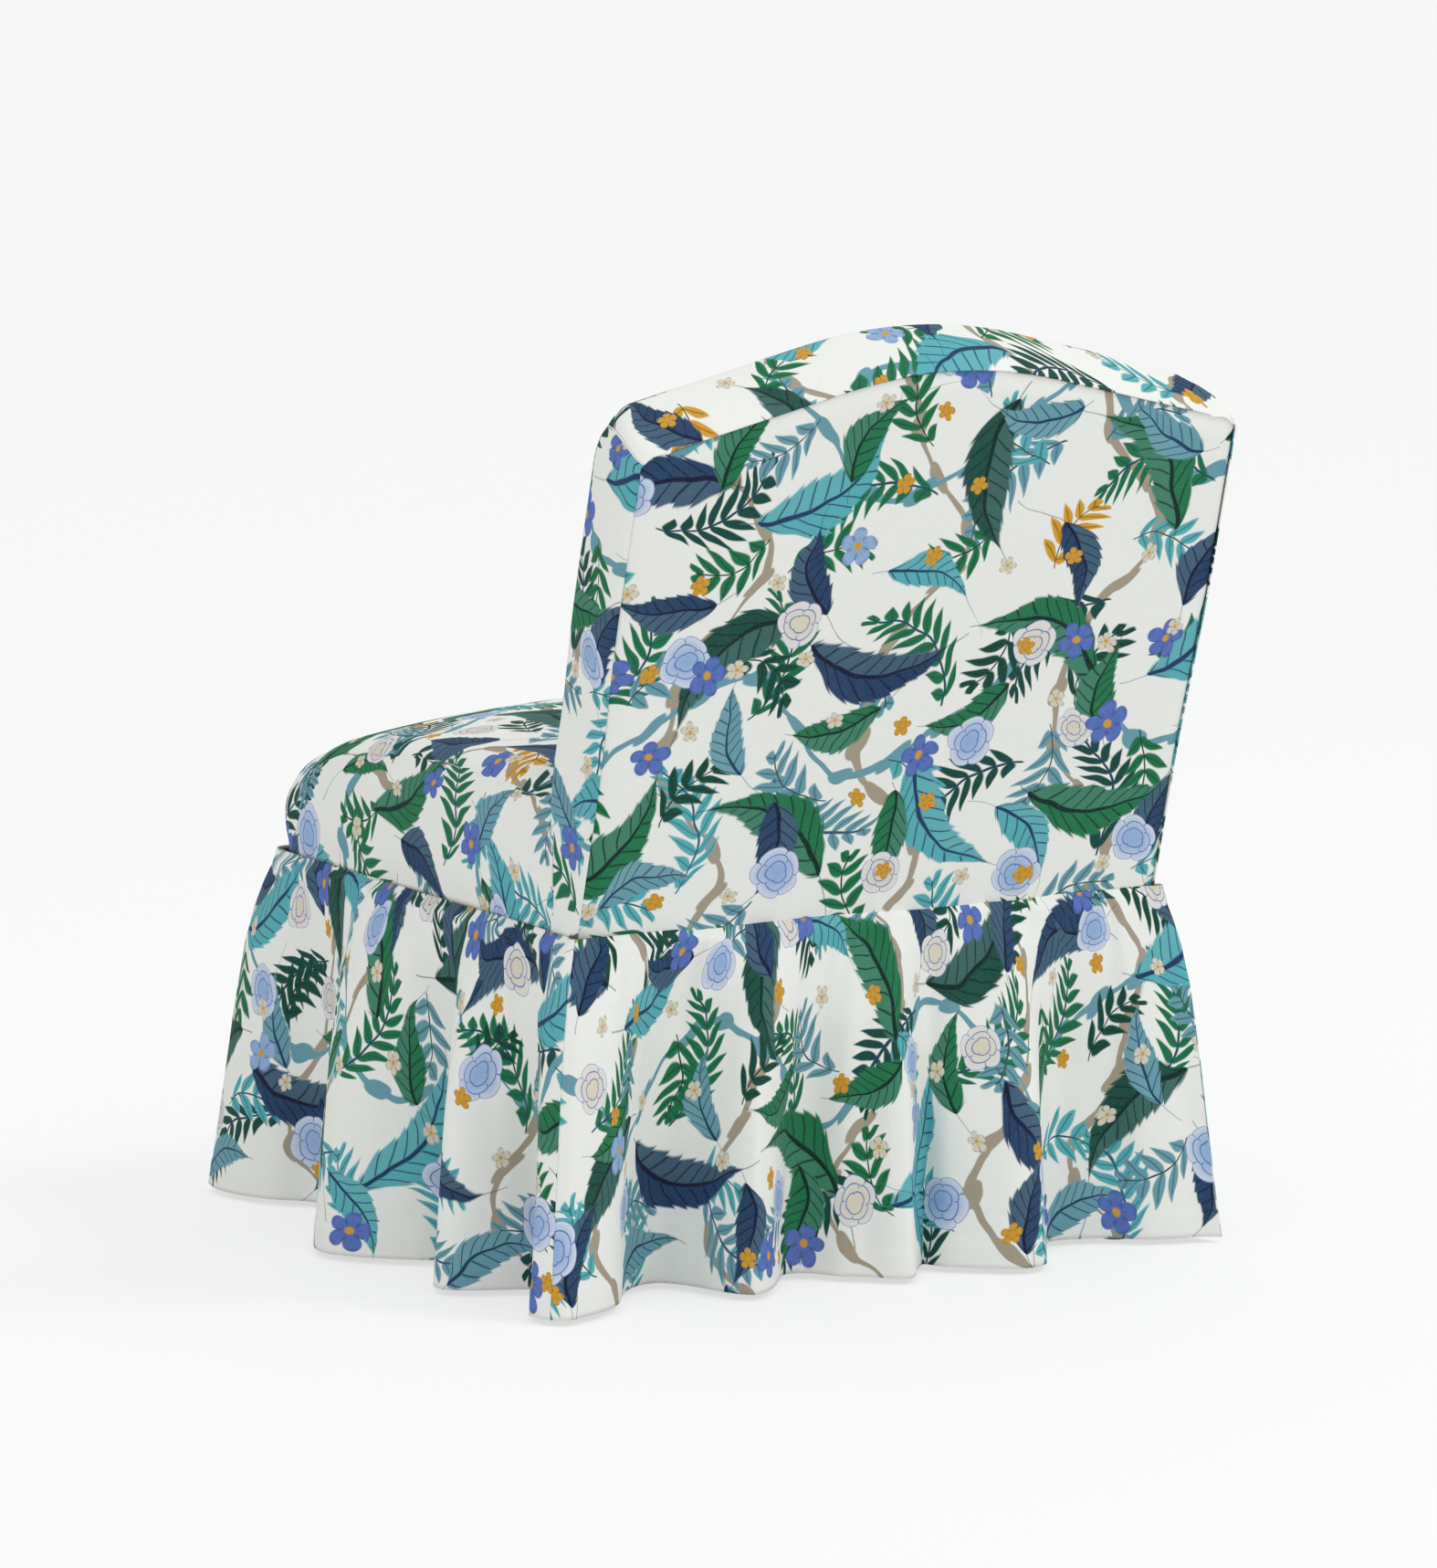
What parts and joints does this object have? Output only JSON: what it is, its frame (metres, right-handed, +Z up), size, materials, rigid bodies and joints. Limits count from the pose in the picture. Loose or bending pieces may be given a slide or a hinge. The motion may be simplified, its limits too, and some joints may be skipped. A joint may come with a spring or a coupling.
{
  "type": "slipper chair",
  "caption": "Armless slipper chair with a low tight seat, a raked camelback back and a gathered skirt to the floor, over a hardwood frame with sinuous springs.",
  "frame": {"origin": "on the floor, under the middle of the chair's outer box", "axes": "+Z up; -Y is the front, the way a sitter faces; +X is the sitter's left"},
  "size_m": [0.8116, 0.8496, 0.8761],
  "materials": {
    "frame_wood": "sawn and planed pale hardwood, unfinished",
    "leg_wood": "dark brown stain, satin lacquer",
    "bolt_steel": "bright zinc plate",
    "glide_nylon": "moulded, dark brown",
    "printed_linen": "plain-woven linen blend, off-white, printed with a botanical pattern in blues, greens and mustard",
    "wadding": "fluffy white polyester batting",
    "foam": "open-cell polyurethane foam, cream",
    "burlap": "coarse plain-woven jute",
    "webbing": "woven jute with dark edge lines",
    "spring_steel": "oil-tempered wire, dark grey",
    "clip_steel": "folded strip, dull grey",
    "tie_wire": "paper-covered steel wire",
    "tack_strip_card": "plain grey-brown board",
    "cambric": "black non-woven cambric"
  },
  "bodies": {
    "root": {"back_burlap": "burlap", "back_foam": "foam", "crest_rail": "frame_wood", "cross_webbing_1": "webbing", "cross_webbing_2": "webbing", "cross_webbing_3": "webbing", "dust_cover": "cambric", "floor_glides": "glide_nylon", "front_left_corner_block": "frame_wood", "front_left_leg": "leg_wood", "front_rail": "frame_wood", "front_rail_wadding": "wadding", "front_right_corner_block": "frame_wood", "front_right_leg": "leg_wood", "inside_back_cover": "printed_linen", "left_back_post": "frame_wood", "left_rail_wadding": "wadding", "left_side_rail": "frame_wood", "leg_bolts": "bolt_steel", "lower_back_rail": "frame_wood", "outside_back_panel": "printed_linen", "outside_back_wadding": "wadding", "rear_left_corner_block": "frame_wood", "rear_rail": "frame_wood", "rear_right_corner_block": "frame_wood", "right_back_post": "frame_wood", "right_rail_wadding": "wadding", "right_side_rail": "frame_wood", "seat_burlap": "burlap", "seat_cover": "printed_linen", "seat_foam": "foam", "seat_spring_1": "spring_steel", "seat_spring_2": "spring_steel", "seat_spring_3": "spring_steel", "seat_spring_4": "spring_steel", "seat_spring_5": "spring_steel", "skirt_front": "printed_linen", "skirt_left": "printed_linen", "skirt_rear": "printed_linen", "skirt_right": "printed_linen", "skirt_tack_strips": "tack_strip_card", "spring_clips": "clip_steel", "spring_tie_wires": "tie_wire", "upright_webbing_1": "webbing", "upright_webbing_2": "webbing", "upright_webbing_3": "webbing"}
  },
  "joints": []
}
